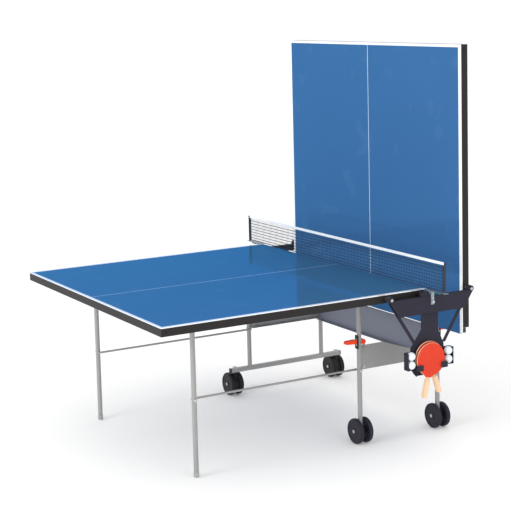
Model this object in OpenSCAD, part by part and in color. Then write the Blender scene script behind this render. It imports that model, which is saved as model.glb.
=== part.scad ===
// Folding table tennis table with wheels, net, bat and ball holder.
// One half lies flat for play and the other stands upright as a rebound wall.
// +X is the wheel side, -X the caster side, -Y the play half and +Y the rebound half.

/* [Playing top] */
// Width of the top, along X
top_w = 1525; // [1500:1:1560]
// Length of each half, from the net gap to its end edge
half_l = 1368.5; // [1340:0.5:1400]
// Gap between each half and the net line
net_gap = 1.5; // [1.5:0.5:4]
// Height of the playing surface
top_z = 760; // [755:1:765]
// Thickness of the playing sheet
sheet_t = 4; // [3:0.5:4]
// Depth of the dark edge frame under the sheet
apron_h = 36; // [34:1:40]
// Wall thickness of the edge frame
apron_t = 2.5; // [2:0.5:3]
// Width of the edge frame's inner lip
apron_lip = 14; // [10:1:20]
// Distance that the side edges stop short of the net edge
apron_short = 32; // [10:1:40]

/* [Folding] */
// Distance of each fold axis from the net line
fold_y = 228; // [226:1:230]
// Height of both fold axes
fold_z = 738; // [737:1:739]
// Distance from a fold axis to that half's end leg
link_l = 882; // [860:1:900]
// Height of the lower ends of the link rods
rod_z = 354; // [340:1:370]
// Radius of the link rods
rod_r = 5; // [4:0.5:5]
// Distance of the link rods from the middle plane
rod_x = 510; // [508:1:510]

/* [Legs] */
// Distance of every leg from the middle plane
leg_x = 533; // [533:1:535]
// Outer radius of the leg tubes
leg_r = 11.5; // [11:0.5:12.5]
// Wall thickness of the leg tubes
tube_wall = 1.5; // [1:0.5:2.5]
// Radius of the plastic feet
foot_r = 13; // [13:0.5:16]
// Height of the plastic feet
foot_h = 20; // [16:1:40]

/* [Undercarriage] */
// Half length of the base bar on the caster side
base_l = 345; // [340:1:350]
// Width and height of the base bar
base_w = 22; // [22:1:26]
// Height of the base bar's underside
base_z = 126; // [126:1:130]
// Bottom of the side plates
plate_z = 356; // [354:1:358]
// Height of the side plates at their tall end
plate_h = 118; // [110:1:118]
// Height of the side plates at their low end
plate_low_h = 40; // [30:1:60]
// Thickness of the folded sheet metal
metal_t = 2.5; // [2:0.5:3]
// Bottom of the cross beam
beam_z = 350; // [345:1:352]
// Height of the cross beam
beam_h = 154; // [140:1:155]

/* [Wheels] */
// Radius of the four fixed wheels
wheel_r = 61; // [58:1:65]
// Thickness of each fixed wheel
wheel_t = 22; // [20:1:24]
// Distance from the leg's axis to the middle of each wheel
wheel_gap = 26; // [26:1:30]
// Radius of the caster wheels
caster_r = 61; // [56:1:61]
// Thickness of each caster wheel
caster_t = 24; // [20:1:24]
// Distance from the caster's middle to each of its wheels
caster_gap = 25; // [25:1:27]
// Distance of the caster stems from the net line
caster_y = 322; // [318:1:326]
// Offset of the caster axle from its stem
trail = 22; // [18:1:26]

/* [Net] */
// Distance of the net posts from the middle plane
post_x = 903; // [895:1:915]
// Height of the net's top edge
net_top = 902; // [895:0.5:915]
// Radius of the net posts
post_r = 5; // [4:0.5:8]
// Thickness of the net
net_t = 1.6; // [1:0.2:2]

/* [Bat and ball holder] */
// Inner face of the holder and of the carrier bar
holder_x = 780; // [778:1:782]
// Depth of the holder's top bar
bar_d = 25; // [22:1:28]
// Height of the holder's bowl centre
bowl_z = 430; // [425:1:435]
// Radius of the bowl
bowl_r = 97; // [95:1:100]
// Distance of the bowl's middle from the net line, towards the play half
bowl_y = 17; // [0:1:20]
// Radius of the bat blades
blade_r = 78; // [74:1:79]
// Radius of the balls
ball_r = 20; // [19:0.5:20]
// Distance of the ball cradles from the middle of the holder
cradle_y = 106; // [105:1:112]

/* [Hidden] */
$fn = 48;

play = -1;
rebound = 1;
wheel_side = 1;
caster_side = -1;

run = 0.05;                                  // radial play of a turning fit
open_play = 0.5;                             // radial play of the opened pivot
back_y = caster_y + caster_gap + caster_t / 2 + 3;
net_y = (half_l + net_gap - back_y) / 2;     // puts the origin under the middle of the box
half_w = top_w / 2;
sheet_z = top_z - sheet_t;
apron_z = sheet_z - apron_h;
leg_in = leg_x - leg_r;
leg_out = leg_x + leg_r;
leg_top = 10;                                // height of a tube's end above its hinge
rail_x = 556;
rail_w = 20;
rail_h = 30;
rail_z = sheet_z - rail_h;
inner_rail_x = 466;
member_w = 24;
end_member = half_l + net_gap - 40;
shaft_r = 6;
pin_r = 5;
axle_r = 5;
axle_z = wheel_r;
caster_z = caster_r;
stem_x = -leg_x;
caster_x = stem_x - trail;
lever_z = 492;
lever_t = 10;
hook_r = 12.5;
holder_face = holder_x + bar_d;
bar_top = 732;
bar_bottom = 652;
shoulder_y = 60;
shoulder_top = 754;
back_x = holder_x + 1;                       // back wall of the bowl
wall = 3;
bat_gap = 8;                                 // leaves room for the handles, which are thicker
rear_bat_x = back_x + wall + bat_gap;
bat_core = 6;
rubber_t = 2;
bat_t = bat_core + 2 * rubber_t;
front_bat_x = rear_bat_x + bat_t + bat_gap;
handle_t = 20;
handle_w = 21;
lip_x = front_bat_x + bat_t + 6;
hook_y = 77;
bracket_end = 913;
knob_r = 6.5;
ball_x = back_x + wall + ball_r + 1;
upper_ball_z = 462;
lower_ball_z = upper_ball_z - 2 * ball_r - 1;

// ---- placing helpers ----

// Moves geometry drawn about the net line to the table's own origin.
module at_net() translate([0, net_y, 0]) children();

// Turns an outline in (Y, Z) into a plate from x to x + t.
module plate_yz(x, t) translate([x, 0, 0]) rotate([90, 0, 90]) linear_extrude(t) children();

// Turns an outline in (X, Z) into a plate from y to y + t.
module plate_xz(y, t) translate([0, y + t, 0]) rotate([90, 0, 0]) linear_extrude(t) children();

module cyl_x(x0, x1, y, z, r) translate([x0, y, z]) rotate([0, 90, 0]) cylinder(h = x1 - x0, r = r);

module cyl_y(x, y0, y1, z, r) translate([x, y0, z]) rotate([-90, 0, 0]) cylinder(h = y1 - y0, r = r);

module box_from(low, high) translate(low) cube(high - low);

// The caster side is the wheel side's mirror image.
module on_side(side) mirror([side < 0 ? 1 : 0, 0, 0]) children();

// A half is drawn flat over +Y: the play half mirrors it, the rebound half stands it up.
module on_half(half) {
    if (half < 0)
        mirror([0, 1, 0]) children();
    else
        translate([0, fold_y, fold_z]) rotate([90, 0, 0]) translate([0, -fold_y, -fold_z]) children();
}

// The hinge of an end leg, in the table's rest pose.
module at_end_hinge(half) {
    if (half < 0)
        translate([0, -fold_y - link_l, fold_z]) children();
    else
        translate([0, fold_y, fold_z + link_l]) children();
}

// A link rod is drawn upwards from its lower pivot: the play half's lies flat.
module at_rod(half) translate([0, half * fold_y, rod_z]) rotate([half < 0 ? 90 : 0, 0, 0]) children();

// ---- undercarriage ----

// Leg tube of the undercarriage, from z0 up to just above the fold axis.
module leg_tube(half, z0) {
    difference() {
        translate([leg_x, half * fold_y, z0]) cylinder(h = fold_z + leg_top - z0, r = leg_r);
        translate([leg_x, half * fold_y, z0 - 1]) cylinder(h = fold_z - z0, r = leg_r - tube_wall);
        cyl_x(leg_in - 1, leg_out + 1, half * fold_y, fold_z, shaft_r + run);
        cyl_x(leg_in - 1, leg_out + 1, half * fold_y, rod_z, rod_r + run);
    }
}

module leg_wheel(half) color([0.64, 0.64, 0.64]) at_net() difference() {
    leg_tube(half, axle_z - 13);
    cyl_y(leg_x, half * fold_y - leg_r - 1, half * fold_y + leg_r + 1, axle_z, axle_r + run);
    box_from([leg_x - lever_t / 2 - 1, half * fold_y - 20, lever_z - 17],
             [leg_x + lever_t / 2 + 1, half * fold_y + 20, lever_z + 18]);
    cyl_x(leg_in - 1, leg_out + 1, half * fold_y, lever_z, 3 + run);
}

module leg_caster(half) color([0.64, 0.64, 0.64]) at_net() on_side(caster_side)
    leg_tube(half, base_z + base_w);

module base_bar() color([0.6, 0.61, 0.62]) at_net() difference() {
    box_from([stem_x - base_w / 2, -base_l, base_z], [stem_x + base_w / 2, base_l, base_z + base_w]);
    box_from([stem_x - base_w / 2 + 2, -base_l - 1, base_z + 2],
             [stem_x + base_w / 2 - 2, base_l + 1, base_z + base_w - 2]);
    for (side = [-1, 1])
        translate([stem_x, side * caster_y, base_z - 1]) cylinder(h = base_w + 2, r = shaft_r + run);
}

// Plastic plugs with a raised lip that close the base bar.
module base_bar_caps() color([0.13, 0.13, 0.14]) at_net() for (side = [0, 1]) mirror([0, side, 0]) {
    box_from([stem_x - base_w / 2 - 0.5, base_l, base_z - 0.4],
             [stem_x + base_w / 2 + 0.5, base_l + 5, base_z + base_w + 0.5]);
    box_from([stem_x - base_w / 2 + 2.2, base_l - 10, base_z + 2.2],
             [stem_x + base_w / 2 - 2.2, base_l, base_z + base_w - 2.2]);
}

// Plate between the two legs of one side: tall at the play leg, low at the rebound leg.
module side_plate() {
    y0 = -fold_y + leg_r;
    y1 = fold_y - leg_r - metal_t - 0.3;
    difference() {
        plate_yz(leg_x - metal_t / 2, metal_t) polygon([
            [y0, plate_z], [y1, plate_z], [y1, plate_z + plate_low_h], [120, plate_z + plate_low_h + 5],
            [-92, plate_z + plate_h], [y0, plate_z + plate_h]
        ]);
        for (z = [plate_z + 14, plate_z + plate_h - 13])
            cyl_x(leg_x - 10, leg_x + 10, y0 + 13, z, 3);
    }
    box_from([leg_x - 22, y0 + 4, plate_z], [leg_x - metal_t / 2, y1, plate_z + metal_t]);
    difference() {
        box_from([leg_x - 9, y0, plate_z], [leg_x - metal_t / 2, y0 + 26, plate_z + plate_h]);
        box_from([leg_x - 9 + metal_t, y0 + metal_t, plate_z - 1], [leg_x, y0 + 40, plate_z + plate_h + 1]);
    }
}

module side_plate_wheel() color([0.57, 0.57, 0.57]) at_net() side_plate();

module side_plate_caster() color([0.57, 0.57, 0.57]) at_net() on_side(caster_side) side_plate();

// Sheet-metal beam across the rebound legs, with a flange along its bottom.
module cross_beam() color([0.42, 0.46, 0.53]) at_net() {
    y1 = fold_y - leg_r;
    y0 = y1 - metal_t;
    difference() {
        box_from([-leg_out, y0, beam_z], [leg_out, y1, beam_z + beam_h]);
        for (side = [-1, 1])
            translate([side * leg_x, y0 + 1, lever_z + 10])
                cube([lever_t + 12, 10, 64], center = true);
    }
    box_from([-leg_x + 12, y0 - 22, beam_z], [leg_x - 12, y0, beam_z + metal_t]);
    box_from([-leg_x + 12, y0 - 12, beam_z + beam_h - metal_t], [leg_x - 12, y0, beam_z + beam_h]);
}

// Round-headed bolt along X: its head faces +X at x.
module plate_bolt(y, z) {
    x = leg_x + metal_t / 2;
    cyl_x(x - metal_t - 4, x + 1, y, z, 2.95);
    cyl_x(x, x + 3.5, y, z, 6);
    cyl_x(x - metal_t - 3.5, x - metal_t, y, z, 5);
}

// Shaft on a fold axis: it carries the half, the sleeve and the bar outside the top.
module fold_shaft(y) {
    cyl_x(leg_in - 4, leg_in, y, fold_z, 9);
    cyl_x(leg_in - 1, holder_face + 2, y, fold_z, shaft_r);
    cyl_x(half_w + 1, holder_x - 0.2, y, fold_z, 10);
    cyl_x(holder_face, holder_face + 4, y, fold_z, 7.4);
    translate([holder_face + 4, y, fold_z]) rotate([0, 90, 0]) cylinder(h = 3, r1 = 7.4, r2 = 4.6);
}

// Caster stem: it hangs in the base bar from its nut.
module caster_stem(y) {
    translate([stem_x, y, caster_z + 35]) cylinder(h = base_z + base_w + 10 - caster_z - 35, r = shaft_r);
    translate([stem_x, y, base_z + base_w]) cylinder(h = 2, r = 12);
    translate([stem_x, y, base_z + base_w + 1]) cylinder(h = 8, r = 10.5, $fn = 6);
}

module zinc_bolts() color([0.78, 0.78, 0.76]) at_net() {
    for (side = [1, -1]) on_side(side) {
        for (half = [play, rebound]) fold_shaft(half * fold_y);
        for (z = [plate_z + 14, plate_z + plate_h - 13]) plate_bolt(-fold_y + leg_r + 13, z);
    }
    for (half = [play, rebound]) caster_stem(half * caster_y);
}

// Fixed axle with a domed cap on each end.
module axle(x, y, z, reach) {
    cyl_y(x, y - reach, y + reach, z, axle_r);
    for (side = [0, 1])
        translate([x, y, z]) mirror([0, side, 0]) cyl_y(0, reach, reach + 2.6, 0, 8);
}

module wheel_axles() color([0.75, 0.76, 0.78]) at_net()
    for (half = [play, rebound])
        axle(leg_x, half * fold_y, axle_z, wheel_gap + wheel_t / 2 + 0.4);

// Guide plate on the outer face of each leg, round the safety lever's slot.
module catch_plates() color([0.1, 0.1, 0.11]) at_net() for (half = [0, 1]) mirror([0, half, 0])
    difference() {
        box_from([leg_x - 13, -fold_y - leg_r - 3, lever_z - 31],
                 [leg_x + 13, -fold_y - leg_r, lever_z + 34]);
        box_from([leg_x - lever_t / 2 - 1, -fold_y - 30, lever_z - 18],
                 [leg_x + lever_t / 2 + 1, -fold_y, lever_z + 18]);
    }

// Red safety lever: a thumb tab outside the leg and a hook inside, on one pivot pin.
module lever(half) color([1, 0.29, 0.12]) at_net() mirror([0, half > 0 ? 1 : 0, 0]) {
    difference() {
        union() {
            plate_yz(leg_x - lever_t / 2, lever_t) {
                polygon([
                    [-300, lever_z], [-252, lever_z - 6], [-200, lever_z - 11],
                    [-200, lever_z + 11], [-252, lever_z + 14], [-290, lever_z + 14]
                ]);
                translate([-297, lever_z + 7]) circle(r = 8.5);
                translate([-206, lever_z]) circle(r = hook_r);
            }
            plate_yz(leg_x - 9, 18) {
                translate([-302, lever_z + 5]) circle(r = 8);
                polygon([[-302, lever_z - 3], [-258, lever_z - 6], [-258, lever_z + 15], [-300, lever_z + 13]]);
            }
            plate_yz(leg_x - 9, 18) intersection() {
                translate([-208, lever_z]) circle(r = hook_r);
                translate([-211, lever_z - 20]) square([30, 40]);
            }
        }
        cyl_x(leg_x - 20, leg_x + 20, -fold_y, lever_z, 3 + run);
    }
}

// ---- wheels ----

// Wheel about the Y axis with soft shoulders, a dished outer face and a raised hub.
module wheel(r, t, hub_side) mirror([0, hub_side < 0 ? 1 : 0, 0]) rotate([-90, 0, 0]) rotate_extrude() {
    shoulder = t * 0.32;
    bore = axle_r + run;
    difference() {
        union() {
            translate([bore, -t / 2]) square([r - shoulder - bore, t]);
            translate([bore, -t / 2 + shoulder]) square([r - bore, t - 2 * shoulder]);
            for (side = [-1, 1])
                translate([r - shoulder, side * (t / 2 - shoulder)]) circle(r = shoulder);
        }
        translate([17, t / 2 - 1.5]) square([r - shoulder - 22, 5]);
        translate([17, -t / 2 - 5]) square([r - shoulder - 22, 11]);
        translate([0, -t]) square([bore, 2 * t]);
    }
}

module wheel_at(half, side) color([0.24, 0.24, 0.32]) at_net()
    translate([leg_x, half * fold_y + side * wheel_gap, axle_z]) wheel(wheel_r, wheel_t, side);

module caster_wheel(half, side) color([0.16, 0.16, 0.17]) at_net()
    translate([caster_x, half * caster_y + side * caster_gap, caster_z]) wheel(caster_r, caster_t, side);

// Body between a caster's two wheels: it turns about the stem and holds the axle.
module caster_housing(half) color([0.14, 0.14, 0.15]) at_net() translate([0, half * caster_y, 0])
    difference() {
        union() {
            plate_xz(-11, 22) {
                translate([caster_x, caster_z]) circle(r = 50);
                translate([stem_x - 15, caster_z + 20]) square([28, base_z - caster_z - 20.6]);
            }
            translate([stem_x, 0, caster_z + 50]) cylinder(h = base_z - caster_z - 50.6, r = 12.5);
        }
        translate([stem_x, 0, caster_z + 34]) cylinder(h = 60, r = shaft_r + run);
        cyl_y(caster_x, -20, 20, caster_z, axle_r + run);
    }

module caster_axle(half) color([0.75, 0.76, 0.78]) at_net()
    axle(caster_x, half * caster_y, caster_z, caster_gap + caster_t / 2 + 0.4);

// ---- halves ----

module top(half) color([0.24, 0.47, 0.69]) at_net() on_half(half)
    box_from([-half_w, net_gap, sheet_z], [half_w, net_gap + half_l, top_z]);

// Angle profile along both sides and the end edge, with bores for the fold shafts.
module apron(half) color([0.17, 0.15, 0.15]) at_net() on_half(half) {
    end_y = net_gap + half_l;
    start_y = net_gap + apron_short;
    for (side = [1, -1]) on_side(side) difference() {
        union() {
            box_from([half_w - apron_t, start_y, apron_z], [half_w, end_y, sheet_z]);
            box_from([half_w - apron_lip, start_y, apron_z], [half_w, end_y, apron_z + apron_t]);
        }
        cyl_x(half_w - 20, half_w + 1, fold_y, fold_z, shaft_r + run);
    }
    box_from([-half_w, end_y - apron_t, apron_z], [half_w, end_y, sheet_z]);
    box_from([-half_w, end_y - apron_lip, apron_z], [half_w, end_y, apron_z + apron_t]);
}

// Hollow rail along Y under the sheet.
module rail(x, w, y0, y1) difference() {
    box_from([x, y0, rail_z], [x + w, y1, sheet_z]);
    box_from([x + 1.5, y0 - 1, rail_z + 1.5], [x + w - 1.5, y1 + 1, sheet_z - 1.5]);
}

// Hollow member along X under the sheet.
module member(x0, x1, y) difference() {
    box_from([x0, y, rail_z], [x1, y + member_w, sheet_z]);
    box_from([x0 - 1, y + 1.5, rail_z + 1.5], [x1 + 1, y + member_w - 1.5, sheet_z - 1.5]);
}

// Rails that carry the hinges, and cross members that stiffen the sheet.
module frame(half) color([0.6, 0.61, 0.62]) at_net() on_half(half) {
    hinge_y = fold_y + link_l;
    rows = [net_gap + 2.5, (net_gap + half_l) / 2, end_member];
    for (side = [1, -1]) on_side(side) {
        difference() {
            union() {
                rail(rail_x, rail_w, rows[0], end_member + member_w);
                cyl_x(leg_out + 0.5, rail_x + 1, fold_y, fold_z, 12);
                cyl_x(leg_out + 0.5, rail_x + 1, hinge_y, fold_z, 12);
            }
            cyl_x(leg_out - 1, rail_x + rail_w + 1, fold_y, fold_z, shaft_r + run);
            cyl_x(leg_out - 1, rail_x + rail_w + 1, hinge_y, fold_z, pin_r);
        }
        rail(inner_rail_x, rail_w, rows[0], end_member + member_w);
        for (y = rows) member(rail_x + rail_w + 0.2, half_w - apron_lip - 1, y);
    }
    for (y = rows) member(-inner_rail_x, inner_rail_x, y);
}

// Pins of the half's two end legs, each with a head inside and a nut outside.
module hinge_pins(half) color([0.78, 0.78, 0.76]) at_net() on_half(half)
    for (side = [1, -1]) on_side(side) {
        y = fold_y + link_l;
        cyl_x(leg_in - 3.8, leg_in - 0.3, y, fold_z, 8);
        cyl_x(leg_in - 0.3, rail_x + rail_w + 6, y, fold_z, pin_r);
        translate([rail_x + rail_w, y, fold_z]) rotate([0, 90, 0]) cylinder(h = 5, r = 8.5, $fn = 6);
    }

// End leg drawn down from its hinge.
module end_leg(half, side) color([0.64, 0.64, 0.64]) at_net() on_side(side) at_end_hinge(half)
    difference() {
        translate([leg_x, 0, -fold_z + 4]) cylinder(h = fold_z - 4 + leg_top, r = leg_r);
        translate([leg_x, 0, -fold_z + 3]) cylinder(h = fold_z - 3, r = leg_r - tube_wall);
        cyl_x(leg_in - 1, leg_out + 1, 0, 0, pin_r + run);
        cyl_x(leg_in - 1, leg_out + 1, 0, rod_z - fold_z, rod_r + open_play);
    }

// Rubber foot with a rounded lower edge, pushed over the tube's end.
module foot(half, side) color([0.16, 0.16, 0.17]) at_net() on_side(side) at_end_hinge(half)
    translate([leg_x, 0, -fold_z]) rotate_extrude() difference() {
        union() {
            square([foot_r - 5, foot_h]);
            translate([0, 5]) square([foot_r, foot_h - 5]);
            translate([foot_r - 5, 5]) circle(r = 5);
        }
        translate([0, 4]) square([leg_r + 0.02, foot_h]);
    }

// Link rod with both ends bent outwards into the legs.
module rod(half, side) color([0.66, 0.66, 0.67]) at_net() on_side(side) at_rod(half) {
    translate([rod_x, 0, 0]) cylinder(h = link_l, r = rod_r);
    for (z = [0, link_l]) {
        translate([rod_x, 0, z]) sphere(r = rod_r);
        cyl_x(rod_x, leg_out + 3.5, 0, z, rod_r);
    }
}

// ---- net ----

// Post with its welded bracket: a flat arm over the bar and a leg on each face of the bar.
module net_post() {
    translate([post_x, 0, top_z - 3]) cylinder(h = net_top - top_z + 2, r = post_r);
    box_from([holder_x - 12, -12, top_z - 3], [bracket_end, 12, top_z]);
    difference() {
        box_from([holder_face + 0.5, -9, 692], [holder_face + 3.5, 9, top_z - 3]);
        cyl_x(holder_face, holder_face + 5, 0, 705, 4 + run);
    }
    box_from([holder_x - 4, -9, 700], [holder_x - 1, 9, top_z - 3]);
}

module net_posts() color([0.1, 0.1, 0.11]) at_net() for (side = [1, -1]) on_side(side) net_post();

// Clamp screw with a round grip.
module net_knob(side) color([0.62, 0.66, 0.7]) at_net() on_side(side) {
    cyl_x(holder_face + 0.3, holder_face + 8, 0, 705, 4);
    difference() {
        cyl_x(holder_face + 4, holder_face + 12, 0, 705, knob_r);
        for (a = [0 : 45 : 315])
            translate([0, (knob_r + 1.3) * cos(a), 705 + (knob_r + 1.3) * sin(a)])
                cyl_x(holder_face + 3, holder_face + 13, 0, 0, 2);
    }
}

module net() color([0.22, 0.25, 0.42]) at_net()
    box_from([-post_x + post_r + 0.5, -net_t / 2, top_z + 2], [post_x - post_r - 0.5, net_t / 2, net_top]);

// Plain bar on the caster side: it carries the net post there.
module carrier_bar() color([0.2, 0.17, 0.17]) at_net() on_side(caster_side) difference() {
    union() {
        box_from([holder_x, -fold_y, 698], [holder_x + 3, fold_y, bar_top]);
        box_from([holder_x, -fold_y, bar_top - 3], [holder_face, fold_y, bar_top]);
        box_from([holder_x, -fold_y, 698], [holder_face, fold_y, 701]);
        box_from([holder_face - 3, -fold_y, 698], [holder_face, fold_y, bar_top]);
        for (half = [play, rebound]) cyl_x(holder_x, holder_face, half * fold_y, fold_z, 14);
    }
    for (half = [play, rebound]) cyl_x(holder_x - 1, holder_face + 1, half * fold_y, fold_z, shaft_r + run);
}

// ---- bat and ball holder ----

strut_top = [-240, 733];
strut_foot = [-88, 500];
strut_w = 19;
neck_w = 97;

// Thin strut from the end of the bar to the shoulder of the bowl.
module strut() polygon([
    strut_top, strut_foot, strut_foot + [strut_w, 0], strut_top + [strut_w, 0]
]);

// Outline of the neck, which widens into the bowl.
module neck() {
    translate([-neck_w / 2, 560]) square([neck_w, bar_bottom - 555]);
    translate([-bowl_y, 0]) polygon([
        [bowl_y - neck_w / 2, 574], [-bowl_r + 4, 494], [-bowl_r, bowl_z],
        [bowl_r, bowl_z], [bowl_r - 1, 494], [bowl_y + neck_w / 2, 562]
    ]);
    translate([-bowl_y, bowl_z]) circle(r = bowl_r);
}

// Outline of the bar between its lugs.
module bar_outline() {
    polygon([[-228, bar_top], [228, bar_top], [186, bar_bottom], [-186, bar_bottom]]);
    for (half = [play, rebound]) translate([half * fold_y, fold_z]) circle(r = 14);
    for (side = [0, 1]) mirror([side, 0])
        polygon([strut_top, [-186, bar_bottom], [-150, bar_bottom], [-200, bar_top]]);
}

// Tray for two balls beside the bowl.
module cradle() {
    y0 = cradle_y - ball_r - 4;
    y1 = cradle_y + ball_r + 1;
    z0 = lower_ball_z - ball_r - 1;
    z1 = upper_ball_z + ball_r - 4;
    difference() {
        box_from([back_x + 0.5, y0, z0 - wall], [back_x + 34, y1 + wall, z1]);
        box_from([back_x + wall, y0 - 1, z0], [back_x + 31, y1, z1 + 1]);
        box_from([back_x + 30, y0 - 1, z0 + 6], [back_x + 35, y1, z1 + 1]);
        box_from([back_x + 30, y0 - 1, z0 - wall - 1], [back_x + 35, y1 - 7, z1 + 1]);
    }
}

// Hook that keeps the lower edge of the bats in the bowl.
module hook() {
    box_from([back_x + 1, hook_y, 396], [lip_x + 3, hook_y + 9, 410.5]);
    box_from([lip_x, hook_y - 24, 391], [lip_x + 4, hook_y + 8.5, 418]);
}

// One moulding: hollow top bar with a shoulder beside the net bracket, struts, neck, bowl with
// a raised edge, ball trays and hooks.
module holder() color([0.21, 0.2, 0.27]) at_net() difference() {
    union() {
        plate_yz(holder_face - wall, wall) bar_outline();
        box_from([holder_x + 1, -fold_y, bar_top - wall - 1], [holder_face - 1, fold_y, bar_top - 1]);
        box_from([holder_x + 1, -180, bar_bottom + 1], [holder_face - 1, 180, bar_bottom + 1 + wall]);
        box_from([holder_x + 3, -shoulder_y, bar_top - 3], [holder_face - 2, -14, shoulder_top]);
        for (half = [play, rebound]) cyl_x(holder_x, holder_face - 0.5, half * fold_y, fold_z, 15);
        plate_yz(back_x, wall) neck();
        plate_yz(back_x + 1, wall) difference() {
            translate([-bowl_y, bowl_z]) circle(r = bowl_r - 1);
            translate([-bowl_y, bowl_z]) circle(r = bowl_r - 5);
        }
        for (side = [0, 1]) {
            mirror([0, side, 0]) {
                plate_yz(back_x + 0.5, wall) strut();
                box_from([holder_x + 3, neck_w / 2 - 7, bar_bottom + 2],
                         [holder_face - 2, neck_w / 2 - 3, bar_top - 2]);
            }
            translate([0, -bowl_y, 0]) mirror([0, side, 0]) {
                cradle();
                hook();
            }
        }
    }
    for (half = [play, rebound]) cyl_x(holder_x - 1, holder_face + 1, half * fold_y, fold_z, shaft_r + run);
    plate_yz(holder_x - 5, 60) translate([-60 - bowl_y, bowl_z - bowl_r - 5]) square([120, 30]);
}

// ---- bats and balls ----

front_bat = [-2, 436, -13];                  // blade centre in Y and Z, and tilt
rear_bat = [1, 441, 18];

// Places an outline whose blade centre is the origin and whose handle points down.
module at_bat(bat) translate([bat[0] - bowl_y, bat[1]]) rotate(bat[2]) children();

module blade_outline(r) {
    circle(r = r);
    polygon([[-r * 0.8, -r * 0.6], [-handle_w / 2, -r - 9], [handle_w / 2, -r - 9], [r * 0.8, -r * 0.6]]);
}

// Wooden blade with a thicker handle.
module bat_wood(bat, x) color([0.96, 0.82, 0.68]) at_net() {
    plate_yz(x + rubber_t, bat_core) at_bat(bat) {
        blade_outline(blade_r);
        translate([-handle_w / 2, -blade_r - 95]) square([handle_w, 90]);
    }
    plate_yz(x + bat_t / 2 - handle_t / 2, handle_t) at_bat(bat) {
        translate([-handle_w / 2, -blade_r - 95]) square([handle_w, 76]);
        translate([0, -blade_r - 95]) circle(r = handle_w / 2);
    }
}

// Rubber sheet on each face of the blade.
module bat_rubber(bat, x) color([0.9, 0.29, 0.2]) at_net()
    for (face = [x, x + rubber_t + bat_core])
        plate_yz(face, rubber_t) at_bat(bat) difference() {
            blade_outline(blade_r - 1);
            translate([-40, -blade_r - 60]) square([80, 54]);
        }

module ball(half, z) color([0.93, 0.95, 0.97]) at_net()
    translate([ball_x, half * cradle_y - bowl_y, z]) sphere(r = ball_r);

leg_wheel(play);  // leg_play_wheel
leg_wheel(rebound);  // leg_rebound_wheel
leg_caster(play);  // leg_play_caster
leg_caster(rebound);  // leg_rebound_caster
base_bar();
base_bar_caps();
side_plate_wheel();
side_plate_caster();
cross_beam();
zinc_bolts();
wheel_axles();
catch_plates();
wheel_at(play, -1);  // wheel_play_front
wheel_at(play, 1);  // wheel_play_back
wheel_at(rebound, -1);  // wheel_rebound_front
wheel_at(rebound, 1);  // wheel_rebound_back
caster_wheel(play, -1);  // caster_wheel_play_front
caster_wheel(play, 1);  // caster_wheel_play_back
caster_wheel(rebound, -1);  // caster_wheel_rebound_front
caster_wheel(rebound, 1);  // caster_wheel_rebound_back
caster_housing(play);  // caster_housing_play
caster_housing(rebound);  // caster_housing_rebound
caster_axle(play);  // caster_axle_play
caster_axle(rebound);  // caster_axle_rebound
lever(play);  // safety_lever_play
lever(rebound);  // safety_lever_rebound
top(play);  // top_play
top(rebound);  // top_rebound
apron(play);  // apron_play
apron(rebound);  // apron_rebound
frame(play);  // frame_play
frame(rebound);  // frame_rebound
hinge_pins(play);  // hinge_pins_play
hinge_pins(rebound);  // hinge_pins_rebound
end_leg(play, wheel_side);  // end_leg_play_wheel
end_leg(play, caster_side);  // end_leg_play_caster
end_leg(rebound, wheel_side);  // end_leg_rebound_wheel
end_leg(rebound, caster_side);  // end_leg_rebound_caster
foot(play, wheel_side);  // foot_play_wheel
foot(play, caster_side);  // foot_play_caster
foot(rebound, wheel_side);  // foot_rebound_wheel
foot(rebound, caster_side);  // foot_rebound_caster
rod(play, wheel_side);  // rod_play_wheel
rod(play, caster_side);  // rod_play_caster
rod(rebound, wheel_side);  // rod_rebound_wheel
rod(rebound, caster_side);  // rod_rebound_caster
net_posts();
net_knob(wheel_side);  // net_knob_wheel
net_knob(caster_side);  // net_knob_caster
net();
holder();
carrier_bar();
bat_wood(front_bat, front_bat_x);  // bat_front_wood
bat_rubber(front_bat, front_bat_x);  // bat_front_rubber
bat_wood(rear_bat, rear_bat_x);  // bat_rear_wood
bat_rubber(rear_bat, rear_bat_x);  // bat_rear_rubber
ball(play, upper_ball_z);  // ball_play_upper
ball(play, lower_ball_z);  // ball_play_lower
ball(rebound, upper_ball_z);  // ball_rebound_upper
ball(rebound, lower_ball_z);  // ball_rebound_lower
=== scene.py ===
import math

import bpy
from mathutils import Matrix, Vector


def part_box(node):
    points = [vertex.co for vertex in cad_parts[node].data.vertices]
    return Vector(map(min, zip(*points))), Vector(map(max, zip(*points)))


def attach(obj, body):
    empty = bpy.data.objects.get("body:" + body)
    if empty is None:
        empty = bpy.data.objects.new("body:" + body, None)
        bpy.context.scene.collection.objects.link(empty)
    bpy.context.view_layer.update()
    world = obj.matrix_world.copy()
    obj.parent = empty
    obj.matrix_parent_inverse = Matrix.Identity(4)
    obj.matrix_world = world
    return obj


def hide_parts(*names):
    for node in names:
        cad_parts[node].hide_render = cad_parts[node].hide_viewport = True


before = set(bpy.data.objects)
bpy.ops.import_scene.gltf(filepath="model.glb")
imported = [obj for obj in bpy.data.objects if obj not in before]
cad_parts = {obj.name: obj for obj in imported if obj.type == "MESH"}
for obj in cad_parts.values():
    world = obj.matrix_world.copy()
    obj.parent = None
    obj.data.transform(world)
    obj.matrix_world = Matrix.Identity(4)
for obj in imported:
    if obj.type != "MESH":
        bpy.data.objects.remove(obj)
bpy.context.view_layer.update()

# ---- studio ----
# The table stands on a plain pale floor in soft light, with the camera at eye height
# beyond its near corner.

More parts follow.
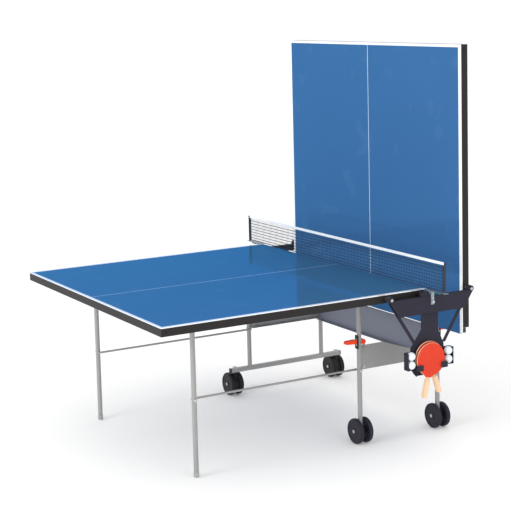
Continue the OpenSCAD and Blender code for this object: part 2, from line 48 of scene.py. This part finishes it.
EYE = Vector((6.0171, -3.3749, 2.1124))
EYE_AZIMUTH, EYE_ELEVATION, EYE_ROLL = (math.radians(a) for a in (60.464, 7.458, -1.457))
SENSOR_WIDTH = 36.0
LENS = 100.39
UP_SHIFT = -0.137

back = Vector((
    math.sin(EYE_AZIMUTH) * math.cos(EYE_ELEVATION),
    -math.cos(EYE_AZIMUTH) * math.cos(EYE_ELEVATION),
    math.sin(EYE_ELEVATION),
))
right = Vector((math.cos(EYE_AZIMUTH), math.sin(EYE_AZIMUTH), 0))
up = back.cross(right)
turned_right = right * math.cos(EYE_ROLL) + up * math.sin(EYE_ROLL)
turned_up = up * math.cos(EYE_ROLL) - right * math.sin(EYE_ROLL)
bpy.ops.object.camera_add(location=EYE)
camera = bpy.context.object
camera.name = "camera"
camera.rotation_euler = Matrix((turned_right, turned_up, back)).transposed().to_euler()
camera.data.sensor_width = SENSOR_WIDTH
camera.data.lens = LENS
camera.data.shift_y = UP_SHIFT
bpy.context.scene.camera = camera

FLOOR_RADIUS = 30
FLOOR_DROP = 0.0005
FLOOR_SHADE = 0.94
FLOOR_GLOW = 0.09

bpy.ops.object.select_all(action="DESELECT")
bpy.ops.mesh.primitive_circle_add(
    vertices=96, radius=FLOOR_RADIUS, fill_type="NGON", location=(0, 0, -FLOOR_DROP))
floor = bpy.context.object
floor.name = "floor"
floor_paint = bpy.data.materials.new("floor_paint")
floor_paint.use_nodes = True
floor_shader = floor_paint.node_tree.nodes["Principled BSDF"]
floor_shader.inputs["Base Color"].default_value = (FLOOR_SHADE, FLOOR_SHADE, FLOOR_SHADE, 1)
floor_shader.inputs["Roughness"].default_value = 0.9
floor_shader.inputs["Specular IOR Level"].default_value = 0.0
floor_shader.inputs["Emission Color"].default_value = (1, 1, 1, 1)
floor_shader.inputs["Emission Strength"].default_value = FLOOR_GLOW
floor.data.materials.append(floor_paint)

world = bpy.data.worlds.new("soft_room")
world.use_nodes = True
world.node_tree.nodes["Background"].inputs["Color"].default_value = (1, 1, 1, 1)
world.node_tree.nodes["Background"].inputs["Strength"].default_value = 1.0
bpy.context.scene.world = world
bpy.context.scene.view_settings.view_transform = "Standard"

SOFT_BOX = 3.0
TABLE_MIDDLE = (0, 0, 0.8)


def soft_light(name, place, power):
    """A square soft box that points at the middle of the table."""
    bpy.ops.object.light_add(type="AREA", location=place)
    lamp = bpy.context.object
    lamp.name = name
    lamp.data.size = SOFT_BOX
    lamp.data.energy = power
    lamp.rotation_euler = (Vector(place) - Vector(TABLE_MIDDLE)).to_track_quat("Z", "Y").to_euler()


soft_light("key_light", (1.0, -7.0, 2.6), power=200)
soft_light("side_light", (7.0, 0.5, 3.0), power=60)


# ---- steel tubes and pressed sheet of the undercarriage ----
# Round mild steel legs, a square base bar, folded side plates and a folded cross beam,
# welded up and powder coated in grey.


class Signal:
    """A socket of a material's nodes. Arithmetic on it adds Math nodes."""

    def __init__(self, tree, socket=None):
        self.tree, self.socket = tree, socket

    def node(self, kind, settings=None, sockets=None, out=0):
        """A new node's output, by its number or its name, once its settings are set."""
        made = self.tree.nodes.new("ShaderNode" + kind)
        for name, value in (settings or {}).items():
            setattr(made, name, value)
        for name, value in (sockets or {}).items():
            if isinstance(value, Signal):
                self.tree.links.new(value.socket, made.inputs[name])
            else:
                made.inputs[name].default_value = value
        return Signal(self.tree, made.outputs[out])

    def maths(self, operation, *values, clamp=False):
        return self.node("Math", {"operation": operation, "use_clamp": clamp}, dict(enumerate(values)))

    def __add__(self, other):
        return self.maths("ADD", self, other)

    def __sub__(self, other):
        return self.maths("SUBTRACT", self, other)

    def __rsub__(self, other):
        return self.maths("SUBTRACT", other, self)

    def __mul__(self, other):
        return self.maths("MULTIPLY", self, other)

    def __gt__(self, other):
        return self.maths("GREATER_THAN", self, other)

    def __lt__(self, other):
        return self.maths("LESS_THAN", self, other)

    def __abs__(self):
        return self.maths("ABSOLUTE", self)

    __radd__ = __add__
    __rmul__ = __mul__

    def either(self, other):
        return self.maths("MAXIMUM", self, other)

    def held(self):
        """The same number kept between 0 and 1."""
        return self.maths("ADD", self, 0.0, clamp=True)

    def blend(self, first, second):
        """The first colour where this is 0 and the second where it is 1.

        Sockets 6 and 7 of a Mix node are its two colours, and output 2 is the mixed one.
        """
        return self.node("Mix", {"data_type": "RGBA"}, {0: self, 6: first, 7: second}, out=2)


# How fast the painted highlight fades away from each edge.
EDGE_HIGHLIGHT_GAIN = 6


class Finish:
    """A material with its Principled shader, and the place of each point in metres."""

    def __init__(self, name, **constants):
        self.material = bpy.data.materials.new(name)
        self.material.use_nodes = True
        self.tree = self.material.node_tree
        self.shader = self.tree.nodes["Principled BSDF"]
        for socket, value in constants.items():
            self.shader.inputs[socket.replace("_", " ")].default_value = value
        self.start = Signal(self.tree)
        self.place = self.start.node("TexCoord", out="Object")
        self.x, self.y, self.z = (
            self.start.node("SeparateXYZ", None, {0: self.place}, out=axis) for axis in "XYZ"
        )

    def noise(self, scale, detail, stretch=None):
        place = self.place
        if stretch:
            place = place.node("Mapping", None, {0: place, "Scale": stretch})
        return self.start.node("TexNoise", None, {"Vector": place, "Scale": scale, "Detail": detail})

    def rounded(self, radius):
        """The normal with every edge rounded, and how near an edge each point is, which is the mask for
        painted edge highlights.
        """
        soft = self.start.node("Bevel", {"samples": 4}, {"Radius": radius})
        plain = self.start.node("NewGeometry", out="Normal")
        alike = soft.node("VectorMath", {"operation": "DOT_PRODUCT"}, {0: soft, 1: plain}, out="Value")
        return soft, ((1 - alike) * EDGE_HIGHLIGHT_GAIN).held()

    def bump(self, height, distance, normal, strength):
        sockets = {"Height": height, "Distance": distance, "Strength": strength}
        if normal:
            sockets["Normal"] = normal
        return self.start.node("Bump", None, sockets)

    def set(self, socket, signal):
        self.tree.links.new(signal.socket, self.shader.inputs[socket])


def rgb(red, green, blue):
    """A colour given as on a screen, 0 to 255, by the standard curve of screens."""
    return (*(((c / 255 + 0.055) / 1.055) ** 2.4 if c > 10 else c / 3294 for c in (red, green, blue)), 1)


def times(colour, factor):
    """The same colour, lighter or darker."""
    return (*(min(1.0, part * factor) for part in colour[:3]), 1)


COAT_EDGE = 0.0015
COAT_PEEL = 0.00012
SCUFF_FROM = 0.66


def coated(finish, colour, shine, scuff_and_highlight_lift=1.7):
    """Powder coat: orange peel, faint clouds, scuffs of wear, and a painted highlight that lightens every
    edge.
    """
    soft, edge = finish.rounded(COAT_EDGE)
    cloud = finish.noise(3.0, 4)
    grain = finish.noise(420.0, 2)
    scuff = (finish.noise(26.0, 6) > SCUFF_FROM) * finish.noise(190.0, 1)
    paint = (cloud * 0.7 + grain * 0.3).held().blend(times(colour, 0.86), times(colour, 1.14))
    # Scuffs are wear; the lightening along every edge is a painted highlight.
    paint = (edge * 0.5 + scuff * 0.35).held().blend(paint, times(colour, scuff_and_highlight_lift))
    finish.set("Base Color", paint)
    finish.set("Roughness", shine + cloud * 0.1 + scuff * 0.25)
    finish.set("Normal", finish.bump(grain, COAT_PEEL, soft, 0.6))
    return finish


def dress(finish, *names):
    """Gives a CAD node's material slots the finish."""
    for name in names:
        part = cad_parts[name]
        if not part.material_slots:
            part.data.materials.append(finish.material)
        for slot in part.material_slots:
            slot.material = finish.material


HALVES = ("play", "rebound")
SIDES = ("wheel", "caster")
TUBE_GREY = rgb(152, 152, 152)
PLATE_GREY = rgb(150, 150, 149)
# The cross beam carries one coat with the side plates, but is painted a darker, bluer grey as painted
# shade.
BEAM_SHADED_GREY = rgb(122, 127, 143)

tube_coat = coated(Finish("tube_coat", Metallic=0.15), TUBE_GREY, 0.34)
plate_coat = coated(Finish("plate_coat", Metallic=0.1), PLATE_GREY, 0.42)
beam_shaded_coat = coated(Finish("beam_shaded_coat", Metallic=0.1), BEAM_SHADED_GREY, 0.45, scuff_and_highlight_lift=1.2)
dress(tube_coat, "base_bar", *(f"leg_{half}_{side}" for half in HALVES for side in SIDES))
dress(plate_coat, "side_plate_wheel", "side_plate_caster")
dress(beam_shaded_coat, "cross_beam")

# ---- bolts, shafts and axles ----
# Turned steel with bright zinc plate: the fold shafts with their domed nuts, the plate
# bolts, the caster stems, the wheel axles and the hinge pins of the end legs.

ZINC_DULL, ZINC_BRIGHT = rgb(176, 176, 170), rgb(226, 226, 224)
ZINC_EDGE = 0.0006
ZINC_GRAIN = 0.00005


def zinc_plate():
    """Bright plate with faint dull clouds, a fine grain, and a painted highlight that brightens every
    edge.
    """
    finish = Finish("zinc_plate", Metallic=1.0)
    soft, edge = finish.rounded(ZINC_EDGE)
    cloud = finish.noise(60.0, 4)
    fine = finish.noise(700.0, 2)
    finish.set("Base Color", (cloud * 0.8 + edge * 0.4).held().blend(ZINC_DULL, ZINC_BRIGHT))
    finish.set("Roughness", 0.22 + cloud * 0.2)
    finish.set("Normal", finish.bump(fine, ZINC_GRAIN, soft, 0.5))
    return finish


zinc = zinc_plate()
dress(
    zinc, "zinc_bolts", "wheel_axles", "hinge_pins_play", "hinge_pins_rebound",
    "caster_axle_play", "caster_axle_rebound",
)

# ---- plugs, guide plates and casters ----
# Injection moulded nylon, nearly black: the plugs of the base bar, the guide plates of
# the levers, the caster housings and the twin caster wheels.

MOULDED_EDGE = 0.0012
MOULD_GRAIN = 650.0
DUST_FROM = 0.62


def moulded(name, colour, shine, grain_height=0.00006, gloss=0.3):
    """Moulded plastic: a fine spark-eroded grain, flow clouds, dust, and a painted highlight that lightens
    every edge.
    """
    finish = Finish(name, Specular_IOR_Level=gloss)
    soft, edge = finish.rounded(MOULDED_EDGE)
    cloud = finish.noise(7.0, 3)
    grain = finish.noise(MOULD_GRAIN, 2)
    dust = (finish.noise(18.0, 5) > DUST_FROM) * finish.noise(90.0, 2)
    plain = (cloud * 0.6 + grain * 0.4).held().blend(times(colour, 0.82), times(colour, 1.18))
    # Dust is real; the lightening along every edge is a painted highlight.
    finish.set("Base Color", (edge * 0.4 + dust * 0.25).held().blend(plain, times(colour, 2.1)))
    finish.set("Roughness", shine + cloud * 0.12 + dust * 0.15)
    finish.set("Normal", finish.bump(grain, grain_height, soft, 0.7))
    return finish


black_nylon = moulded("black_nylon", rgb(30, 30, 32), 0.38, gloss=0.2)
caster_nylon = moulded("caster_nylon", rgb(29, 29, 31), 0.36, gloss=0.2)
dress(black_nylon, "base_bar_caps", "catch_plates", "caster_housing_play", "caster_housing_rebound")
dress(caster_nylon, *(f"caster_wheel_{half}_{end}" for half in HALVES for end in ("front", "back")))

# ---- fixed wheels ----
# Solid moulded wheels in dark violet grey, with fine rings turned in their faces. Each
# runs free on a plain axle.

wheel_violet = moulded("wheel_violet", rgb(38, 37, 50), 0.45, grain_height=0.0001, gloss=0.2)
RING_PITCH = 0.009
RING_HEIGHT = 0.0004


def turned_rings(finish, *wheels):
    """Fine concentric rings about the axles, left by the mould's turned faces."""
    from_axle = None
    for name in wheels:
        low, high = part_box(name)
        across = finish.y - (low.y + high.y) / 2
        over = finish.z - (low.z + high.z) / 2
        away = finish.start.maths("SQRT", across * across + over * over)
        from_axle = away if from_axle is None else from_axle.maths("MINIMUM", from_axle, away)
    ridge = from_axle.maths("SINE", from_axle * (math.tau / RING_PITCH))
    soft = finish.rounded(MOULDED_EDGE)[0]
    relief = ridge * 0.5 + finish.noise(MOULD_GRAIN, 2) * 0.3
    finish.set("Normal", finish.bump(relief, RING_HEIGHT, soft, 0.5))


turned_rings(wheel_violet, "wheel_play_front", "wheel_rebound_front")
dress(wheel_violet, *(f"wheel_{half}_{end}" for half in HALVES for end in ("front", "back")))

# ---- safety levers ----
# Red ABS moulding with a thumb tab outside the leg and a hook inside it. Each turns on a
# pin and is sprung back.

lever_red = moulded("lever_red", rgb(250, 74, 34), 0.24, grain_height=0.00003)
dress(lever_red, "safety_lever_play", "safety_lever_rebound")

# ---- rails and cross members of both halves ----
# Square steel tube, welded to a ladder under each sheet and powder coated like the legs.
# The rails turn on the fold shafts.

dress(tube_coat, "frame_play", "frame_rebound")

# ---- playing sheets ----
# Weatherproof laminate, painted blue on its face with a semi-gloss sealing coat, with
# white side and end lines, a thin centre line and a pale back.

HALF_WIDTH = 0.7625
SIDE_LINE, END_LINE = 0.018, 0.013
CENTRE_LINE = 0.0036
PAINTED_DEPTH = 0.0036
WORN_FROM = 0.63
SEALER_PEEL = 0.00003
SEALER_GLANCE = (0.05, 0.33, 0.9, 1)
# How much each half mirrors, and its darker and lighter blue. Both halves are one paint, but the upright
# rebound half is painted a darker blue than the flat play half, as painted shade.
SHEET_LOOK_WITH_PAINTED_SHADE = {
    "play": (0.42, rgb(70, 121, 154), rgb(77, 128, 162)),
    "rebound": (0.14, rgb(58, 103, 151), rgb(63, 109, 160)),
}


def playing_sheet(half):
    """Blue face with its lines, and a pale back, from how deep each point lies."""
    low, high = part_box(f"top_{half}")
    mirror, dull, bright = SHEET_LOOK_WITH_PAINTED_SHADE[half]
    finish = Finish(
        f"sheet_{half}", Metallic=mirror, Specular_IOR_Level=0.0, Specular_Tint=SEALER_GLANCE)
    if half == "play":
        depth, from_end = high.z - finish.z, finish.y - low.y
    else:
        depth, from_end = finish.y - low.y, high.z - finish.z
    side = abs(finish.x)
    border = (side > HALF_WIDTH - SIDE_LINE).either(from_end < END_LINE)
    centre = side < CENTRE_LINE / 2
    cloud = finish.noise(2.2, 3)
    peel = finish.noise(330.0, 2)
    wear = (finish.noise(9.0, 7) > WORN_FROM) * finish.noise(240.0, 1)
    blue = (cloud * 0.7 + peel * 0.3).held().blend(dull, bright)
    blue = (wear * 0.1).held().blend(blue, rgb(120, 160, 200))
    marked = centre.blend(blue, rgb(206, 228, 242))
    marked = border.blend(marked, rgb(244, 247, 250))
    underside = depth > PAINTED_DEPTH
    finish.set("Base Color", underside.blend(marked, rgb(172, 174, 178)))
    finish.set("Roughness", 0.07 + cloud * 0.04 + wear * 0.1 + underside * 0.35)
    finish.set("Normal", finish.bump(peel, SEALER_PEEL, None, 0.5))
    return finish


for half in HALVES:
    dress(playing_sheet(half), f"top_{half}")

# ---- edge frames ----
# Rolled steel section round each sheet, mitred at the corners and coated near black.

edge_coat = coated(Finish("edge_coat", Specular_IOR_Level=0.25), rgb(34, 31, 30), 0.46)
dress(edge_coat, "apron_play", "apron_rebound", "carrier_bar")

# ---- end legs and link rods ----
# Bent steel tube with a moulded foot, and a bent round rod that turns each end leg down
# as its half is laid flat.

foot_grey = moulded("foot_grey", rgb(160, 160, 160), 0.5)
for half in HALVES:
    for side in SIDES:
        dress(tube_coat, f"end_leg_{half}_{side}", f"rod_{half}_{side}")
        dress(foot_grey, f"foot_{half}_{side}")

# ---- net posts ----
# A black steel post stands at each side on a bright folded bracket, which a pale knob
# clamps.

SHEET_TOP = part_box("top_play")[1].z
BLACK_FROM = 0.001
BRACKET_DULL, BRACKET_BRIGHT = rgb(128, 138, 150), rgb(176, 184, 192)
POST_EDGE = 0.0008


def post_steel():
    """Black coat above the playing surface and bright plate below it, with a painted highlight along the
    plate's edges.
    """
    finish = Finish("post_steel")
    soft, edge = finish.rounded(POST_EDGE)
    cloud = finish.noise(40.0, 4)
    fine = finish.noise(500.0, 2)
    post = finish.z > SHEET_TOP + BLACK_FROM
    bright = (cloud * 0.8 + edge * 0.4).held().blend(BRACKET_DULL, BRACKET_BRIGHT)
    black = cloud.blend(rgb(22, 22, 26), rgb(40, 40, 46))
    finish.set("Base Color", post.blend(bright, black))
    finish.set("Metallic", 0.85 - post * 0.8)
    finish.set("Roughness", 0.28 + cloud * 0.15 + post * 0.05)
    finish.set("Normal", finish.bump(fine, ZINC_GRAIN, soft, 0.5))
    return finish


dress(post_steel(), "net_posts")
grip_pale = moulded("grip_pale", rgb(168, 184, 188), 0.35)
dress(grip_pale, "net_knob_wheel", "net_knob_caster")

# ---- holder ----
# One moulding in dark violet grey: the bar with its lugs, two struts, the neck, the bowl
# for two bats and a tray for two balls on each side.

holder_violet = moulded("holder_violet", rgb(42, 40, 53), 0.5, grain_height=0.00012, gloss=0.2)
dress(holder_violet, "holder")

# ---- bats ----
# Plywood blade with red rubber on both faces and a straight handle in pale wood. Both
# bats stand in the holder's bowl and lift out.

WOOD_EDGE, RUBBER_EDGE = 0.001, 0.0008
WOOD_PORES, RUBBER_PIMPLES = 0.0001, 0.00004


def bat_timber():
    """Pale wood with its grain drawn out along the handle, and a painted highlight that lightens its
    edges.
    """
    finish = Finish("bat_timber")
    soft, edge = finish.rounded(WOOD_EDGE)
    rings = finish.noise(34.0, 5, (1, 1, 0.08))
    pores = finish.noise(260.0, 2, (1, 1, 0.06))
    wood = (rings * 0.75 + pores * 0.25).held().blend(rgb(222, 176, 134), rgb(252, 222, 188))
    finish.set("Base Color", (edge * 0.2).blend(wood, rgb(255, 236, 210)))
    finish.set("Roughness", 0.42 + pores * 0.2)
    finish.set("Normal", finish.bump(pores, WOOD_PORES, soft, 0.5))
    return finish


def bat_rubber():
    """Red rubber with the faint print of its pimples."""
    finish = Finish("bat_rubber", Specular_IOR_Level=0.2)
    soft = finish.rounded(RUBBER_EDGE)[0]
    cloud = finish.noise(9.0, 4)
    pimple = finish.start.node("TexVoronoi", None, {"Vector": finish.place, "Scale": 520.0})
    tone = (cloud * 0.8 + pimple * 0.3).held()
    finish.set("Base Color", tone.blend(rgb(206, 50, 30), rgb(232, 72, 44)))
    finish.set("Roughness", 0.36 + cloud * 0.14)
    finish.set("Normal", finish.bump(pimple, RUBBER_PIMPLES, soft, 0.4))
    return finish


timber, rubber = bat_timber(), bat_rubber()
for bat in ("front", "rear"):
    dress(timber, f"bat_{bat}_wood")
    dress(rubber, f"bat_{bat}_rubber")

# ---- balls ----
# Celluloid, white with a faint blue cast and a satin skin. Two lie in the tray on each
# side of the holder.

BALL_GRAIN = 0.00004
celluloid = Finish("celluloid")
speck = celluloid.noise(900.0, 2)
cloud = celluloid.noise(40.0, 3)
celluloid.set("Base Color", cloud.blend(rgb(222, 232, 240), rgb(242, 248, 252)))
celluloid.set("Roughness", 0.32 + cloud * 0.1)
celluloid.set("Normal", celluloid.bump(speck, BALL_GRAIN, None, 0.4))
dress(celluloid, *(f"ball_{half}_{row}" for half in HALVES for row in ("upper", "lower")))

# ---- net ----
# Knotted polyester mesh in navy with a sewn white tape over its top cord, and a dark cord
# along the bottom and down both ends, stretched between the posts.

ENDS = (("wheel", 1), ("caster", -1))
NET_LINE = sum(v.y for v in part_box("net_posts")) / 2
net_low, net_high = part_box("net")
TAPE_HIGH, TAPE_THICK, TAPE_EDGE = 0.014, 0.0034, 0.0015
TAPE_SHORT = 0.002
CELL_WIDE, CELL_HIGH = 0.013, 0.0162
MESH_CORD = 0.0017
ROW_CORD = 0.0044
UNDER_TAPE, ABOVE_FOOT = 0.003, 0.002
POST_GAP = 0.007
END_CORD, BOTTOM_CORD, CORD_EDGE = 0.0045, 0.0042, 0.0018
STITCH_PITCH, STITCH_LONG, STITCH_THICK = 0.006, 0.0042, 0.0005
STITCH_INSET, STITCH_AWAY = 0.0025, 0.0018
YARN_RELIEF = 0.0002


def clear_selection():
    if bpy.context.object and bpy.context.object.mode != "OBJECT":
        bpy.ops.object.mode_set(mode="OBJECT")
    bpy.ops.object.select_all(action="DESELECT")


def settle(name, size=(1, 1, 1)):
    """Sizes and names the piece just made, and puts its place into its mesh."""
    piece = bpy.context.object
    piece.scale = size
    bpy.ops.object.transform_apply(location=True, rotation=True, scale=True)
    piece.name = piece.data.name = name
    return piece


def add_modifier(piece, kind, **settings):
    """Adds a modifier to the active piece and applies it."""
    made = piece.modifiers.new(kind.lower(), kind)
    for name, value in settings.items():
        setattr(made, name, value)
    bpy.ops.object.modifier_apply(modifier=made.name)


def bar_piece(name, middle, size, edge):
    """A bar with rounded edges, from its middle and its size."""
    clear_selection()
    bpy.ops.mesh.primitive_cube_add(size=1, location=middle)
    piece = settle(name, size)
    add_modifier(piece, "BEVEL", width=edge, segments=3)
    return piece


def finished(piece, finish, body="undercarriage"):
    """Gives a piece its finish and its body."""
    piece.data.materials.append(finish.material)
    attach(piece, body)
    return piece


mesh_high = net_high.z - TAPE_HIGH + UNDER_TAPE
mesh_low = net_low.z + ABOVE_FOOT
mesh_middle, mesh_tall = (mesh_low + mesh_high) / 2, mesh_high - mesh_low
net_long = net_high.x - net_low.x - 2 * POST_GAP
# The mesh is wired flatter and drawn out after, so the cords that run along are thicker.
taller = ROW_CORD / MESH_CORD
clear_selection()
bpy.ops.mesh.primitive_grid_add(
    x_subdivisions=round(net_long / CELL_WIDE),
    y_subdivisions=round(mesh_tall / CELL_HIGH),
    size=1,
    rotation=(math.pi / 2, 0, 0),
)
net_mesh = settle("net_mesh", (net_long, mesh_tall / taller, 1))
add_modifier(net_mesh, "WIREFRAME", thickness=MESH_CORD, use_replace=True, use_even_offset=False)
net_mesh.location = (0, NET_LINE, mesh_middle)
net_mesh = settle("net_mesh", (1, 1, taller))


def yarn(name, dark, light, weave):
    """Sewn or knotted yarn: a fine weave with loose fibre and a dull surface."""
    finish = Finish(name)
    cloud = finish.noise(20.0, 4)
    warp = finish.start.node("TexWave", {"bands_direction": "X"}, {"Vector": finish.place, "Scale": weave})
    weft = finish.start.node("TexWave", {"bands_direction": "Z"}, {"Vector": finish.place, "Scale": weave})
    threads = warp * 0.5 + weft * 0.5
    finish.set("Base Color", (cloud * 0.6 + threads * 0.4).held().blend(dark, light))
    finish.set("Roughness", 0.78 + cloud * 0.15)
    finish.set("Normal", finish.bump(threads, YARN_RELIEF, None, 0.5))
    return finish


navy_yarn = yarn("navy_yarn", rgb(20, 36, 56), rgb(34, 56, 80), 400.0)
white_tape = yarn("white_tape", rgb(226, 232, 238), rgb(250, 252, 254), 300.0)
thread = yarn("thread", rgb(188, 196, 204), rgb(214, 220, 226), 900.0)
finished(net_mesh, navy_yarn)
net_tape = bar_piece(
    "net_tape",
    (0, NET_LINE, net_high.z - TAPE_HIGH / 2),
    (net_long + 2 * POST_GAP - TAPE_SHORT, TAPE_THICK, TAPE_HIGH),
    TAPE_EDGE,
)
net_trim = [finished(net_tape, white_tape)]
for side, end in ENDS:
    end_cord = bar_piece(
        f"net_end_cord_{side}",
        (end * (net_long / 2 - END_CORD / 2), NET_LINE, mesh_middle),
        (END_CORD, END_CORD, mesh_tall),
        CORD_EDGE,
    )
    net_trim.append(finished(end_cord, navy_yarn))
bottom_cord = bar_piece(
    "net_bottom_cord",
    (0, NET_LINE, mesh_low + BOTTOM_CORD / 2),
    (net_long, BOTTOM_CORD, BOTTOM_CORD),
    CORD_EDGE,
)
net_trim.append(finished(bottom_cord, navy_yarn))

# Lock stitching: one row near each edge of the top tape, on both faces.
upper_row, lower_row = net_high.z - STITCH_INSET, net_high.z - TAPE_HIGH + STITCH_INSET
for row, height in (("upper", upper_row), ("lower", lower_row)):
    for face, away in (("front", -1), ("back", 1)):
        stitches = bar_piece(
            f"tape_stitches_{row}_{face}",
            (-net_long / 2 + STITCH_LONG, NET_LINE + away * STITCH_AWAY, height),
            (STITCH_LONG, STITCH_THICK * 2, STITCH_THICK * 2),
            STITCH_THICK * 0.6,
        )
        add_modifier(
            stitches,
            "ARRAY",
            count=int((net_long - 2 * STITCH_LONG) / STITCH_PITCH),
            use_relative_offset=False,
            use_constant_offset=True,
            constant_offset_displace=(STITCH_PITCH, 0, 0),
        )
        net_trim.append(finished(stitches, thread))

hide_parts("net")

# ---- bracket pads ----
# A small moulded pad in teal sits under each bracket's arm and keeps it from rattling.

pad_teal = moulded("pad_teal", rgb(24, 112, 122), 0.4)
PAD = (0.034, 0.016, 0.008)
PAD_OUT, PAD_EDGE = 0.850, 0.002
ARM_THICK = 0.003
arm_low = SHEET_TOP - ARM_THICK
for side, end in ENDS:
    pad = bar_piece(
        f"bracket_pad_{side}", (end * PAD_OUT, NET_LINE, arm_low - PAD[2] / 2), PAD, PAD_EDGE)
    finished(pad, pad_teal)

# ---- screws ----
# Pan-head screws with a cross recess: two in zinc plate in the drop leg of each net
# bracket, and a coated one at each end of the side edges of both halves.

HEAD_RADIUS, HEAD_HIGH, HEAD_EDGE = 0.0042, 0.0022, 0.0004
RECESS_WIDE, RECESS_DEEP, RECESS_EDGE = 0.0011, 0.0012, 0.0001
LOOKS_UP = 0.9


def select_top(piece):
    """Leaves only the faces that look up selected, and goes into edit mode."""
    for face in piece.data.polygons:
        face.select = face.normal.z > LOOKS_UP
    for corner in piece.data.vertices:
        corner.select = False
    bpy.ops.object.mode_set(mode="EDIT")
    bpy.ops.mesh.select_mode(type="FACE")


clear_selection()
bpy.ops.mesh.primitive_cylinder_add(
    vertices=24, radius=HEAD_RADIUS, depth=HEAD_HIGH, location=(0, 0, HEAD_HIGH / 2))
screw = settle("screw")
select_top(screw)
bpy.ops.mesh.inset(thickness=HEAD_RADIUS * 0.3)
bpy.ops.transform.translate(value=(0, 0, HEAD_HIGH * 0.25))
bpy.ops.object.mode_set(mode="OBJECT")
add_modifier(screw, "BEVEL", width=HEAD_EDGE, segments=2)
recess_long = HEAD_RADIUS * 1.1
for number, size in enumerate(((recess_long, RECESS_WIDE), (RECESS_WIDE, recess_long))):
    cutter = bar_piece(
        f"recess_{number}", (0, 0, HEAD_HIGH * 1.25), (*size, RECESS_DEEP * 2), RECESS_EDGE)
    clear_selection()
    screw.select_set(True)
    bpy.context.view_layer.objects.active = screw
    add_modifier(screw, "BOOLEAN", object=cutter, operation="DIFFERENCE")
    bpy.data.objects.remove(cutter)


def put_outwards(master, name, place, end, body, finish):
    """A copy of a piece that was modelled looking up, turned to look towards +X or -X."""
    clear_selection()
    master.select_set(True)
    bpy.context.view_layer.objects.active = master
    bpy.ops.object.duplicate()
    head = bpy.context.object
    head.location, head.rotation_euler = place, (0, end * math.pi / 2, 0)
    finished(settle(name), finish, body)


KNOB_STEM = 0.0032
BRACKET_SCREWS = (("lower", 0.018), ("upper", 0.036))
FIRST_SCREW = 0.026
knob_low, knob_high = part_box("net_knob_wheel")
plate_face = knob_low.x + KNOB_STEM
knob_middle = (knob_low.z + knob_high.z) / 2
play_low, play_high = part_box("apron_play")
stood_low, stood_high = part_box("apron_rebound")
play_middle, stood_middle = (play_low.z + play_high.z) / 2, (stood_low.y + stood_high.y) / 2
for side, end in ENDS:
    for row, rise in BRACKET_SCREWS:
        place = (end * plate_face, NET_LINE, knob_middle + rise)
        put_outwards(screw, f"bracket_screw_{side}_{row}", place, end, "undercarriage", zinc)
    edge_x = end * play_high.x
    for spot, along, rise in (
        ("inner", play_high.y - FIRST_SCREW, stood_low.z + FIRST_SCREW),
        ("outer", play_low.y + FIRST_SCREW, stood_high.z - FIRST_SCREW),
    ):
        spots = (("play", (edge_x, along, play_middle)), ("rebound", (edge_x, stood_middle, rise)))
        for half, place in spots:
            name = f"edge_screw_{half}_{side}_{spot}"
            put_outwards(screw, name, place, end, f"half_{half}", edge_coat)
bpy.data.objects.remove(screw)

# ---- link rod caps ----
# A pressed zinc cap with a domed crown is pushed over each end of the link rods, where
# the rod's bent end comes out through a leg.

CAP_RADIUS, CAP_HIGH, CAP_EDGE = 0.0078, 0.0040, 0.0004
ROD_RADIUS = 0.005
clear_selection()
bpy.ops.mesh.primitive_cylinder_add(
    vertices=32, radius=CAP_RADIUS, depth=CAP_HIGH, location=(0, 0, -CAP_HIGH / 4))
cap = settle("cap")
select_top(cap)
bpy.ops.mesh.inset(thickness=CAP_RADIUS * 0.3)
bpy.ops.transform.translate(value=(0, 0, CAP_HIGH * 0.4))
bpy.ops.mesh.inset(thickness=CAP_RADIUS * 0.35)
bpy.ops.transform.translate(value=(0, 0, CAP_HIGH * 0.15))
bpy.ops.object.mode_set(mode="OBJECT")
add_modifier(cap, "BEVEL", width=CAP_EDGE, segments=2)
for half in HALVES:
    for side, end in ENDS:
        low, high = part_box(f"rod_{half}_{side}")
        outer = end * max(abs(low.x), abs(high.x))
        middle = (low + high) / 2
        reach = Vector((0, high.y - low.y, 0)) if half == "play" else Vector((0, 0, high.z - low.z))
        reach = reach / 2 - reach.normalized() * ROD_RADIUS
        for spot, place in (("first", middle - reach), ("second", middle + reach)):
            place.x = outer
            name = f"rod_cap_{half}_{side}_{spot}"
            put_outwards(cap, name, place, end, f"rod_{half}_{side}", zinc)
bpy.data.objects.remove(cap)

# ---- weld beads ----
# Rippled beads where the upright tubes on the caster side are welded to the base bar,
# coated together with them.

BEAD, BEAD_RING = 0.0022, 0.0118
RIPPLE_PITCH, RIPPLE_HEIGHT = 0.004, 0.0012
bar_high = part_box("base_bar")[1].z
for half in HALVES:
    low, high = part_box(f"leg_{half}_caster")
    clear_selection()
    bpy.ops.mesh.primitive_torus_add(
        major_segments=48,
        minor_segments=8,
        major_radius=BEAD_RING,
        minor_radius=BEAD,
        location=((low.x + high.x) / 2, (low.y + high.y) / 2, bar_high),
    )
    bead = settle(f"weld_bead_{half}")
    ripple = bpy.data.textures.new(f"ripple_{half}", "CLOUDS")
    ripple.noise_scale = RIPPLE_PITCH
    add_modifier(bead, "DISPLACE", texture=ripple, strength=RIPPLE_HEIGHT, mid_level=0.5)
    finished(bead, tube_coat)
